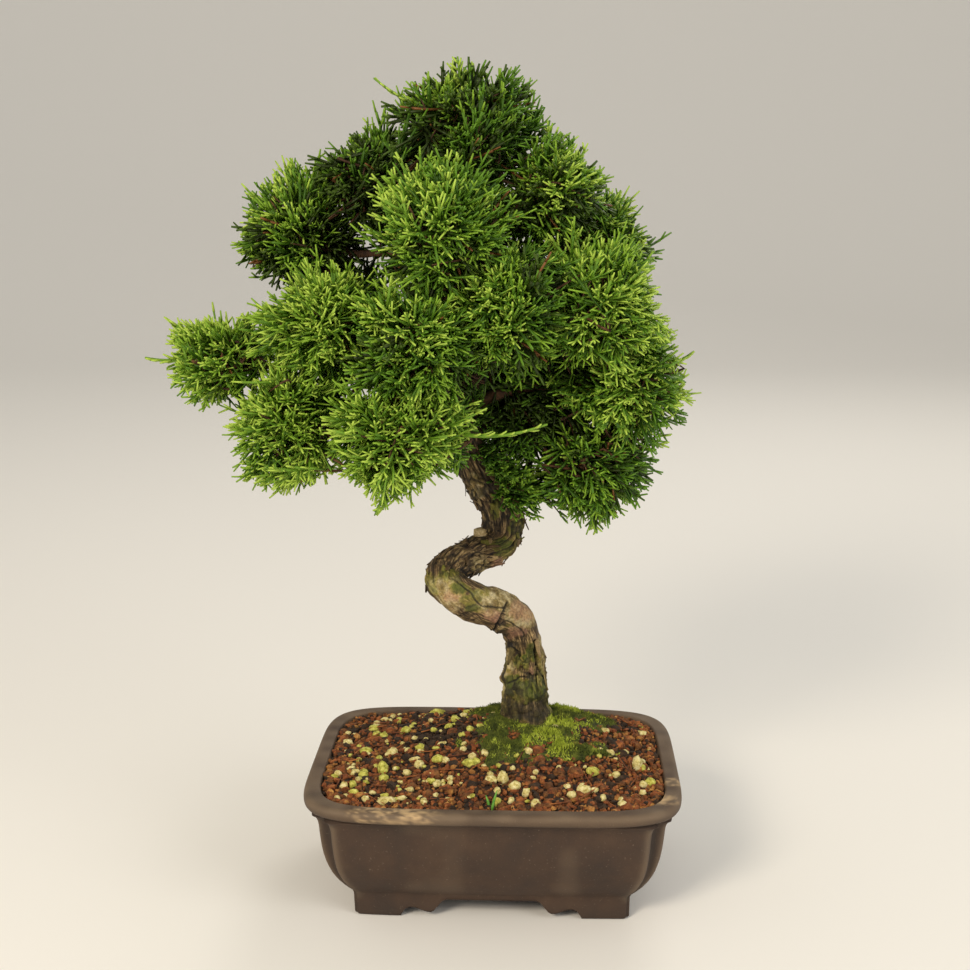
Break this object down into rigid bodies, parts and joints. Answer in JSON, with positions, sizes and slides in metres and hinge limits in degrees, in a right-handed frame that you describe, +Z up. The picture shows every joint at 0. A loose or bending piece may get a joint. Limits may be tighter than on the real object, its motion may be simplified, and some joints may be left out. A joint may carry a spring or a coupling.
{
  "type": "juniper bonsai in a clay pot",
  "caption": "Potted juniper bonsai: S-curved tapering trunk, boughs and dense needle masses over mossy soil in a rectangular unglazed clay pot with scalloped feet.",
  "frame": {"origin": "middle of the whole plant's box, on the ground the pot stands on", "axes": "+Z up; +X to the right and +Y to the back as the picture looks at the plant"},
  "size_m": [0.2572, 0.1907, 0.3975],
  "materials": {
    "clay": "unglazed, matt, mottled grey-brown",
    "soil": "loose baked-clay crumbs with pale pumice grains",
    "moss": "soft matt moss",
    "bark": "rough flaky bark with smooth pale patches",
    "foliage": "matt green scale-leaf shoots"
  },
  "bodies": {
    "root": {"pot": "clay", "soil": "soil", "moss": "moss", "trunk": "bark", "bough_shoulder_left": "bark", "bough_shoulder_right": "bark", "bough_upper_left": "bark", "bough_upper_front": "bark", "bough_upper_right": "bark", "bough_upper_back": "bark", "bough_right_front": "bark", "bough_right_side": "bark", "bough_right_low": "bark", "bough_left_top": "bark", "bough_left_far": "bark", "bough_left_low": "bark", "bough_middle_low": "bark", "bough_middle_front": "bark", "bough_front": "bark", "bough_inner_right": "bark", "bough_back_left": "bark", "bough_back_low": "bark", "bough_back": "bark", "bough_back_right": "bark", "foliage_top": "foliage", "foliage_shoulder_left": "foliage", "foliage_shoulder_right": "foliage", "foliage_upper_left": "foliage", "foliage_upper_front": "foliage", "foliage_upper_right": "foliage", "foliage_upper_back": "foliage", "foliage_right_front": "foliage", "foliage_right_side": "foliage", "foliage_right_low": "foliage", "foliage_left_top": "foliage", "foliage_left_far": "foliage", "foliage_left_low": "foliage", "foliage_middle_low": "foliage", "foliage_middle_front": "foliage", "foliage_front": "foliage", "foliage_inner_right": "foliage", "foliage_back_left": "foliage", "foliage_back_low": "foliage", "foliage_back": "foliage", "foliage_back_right": "foliage"}
  },
  "joints": []
}
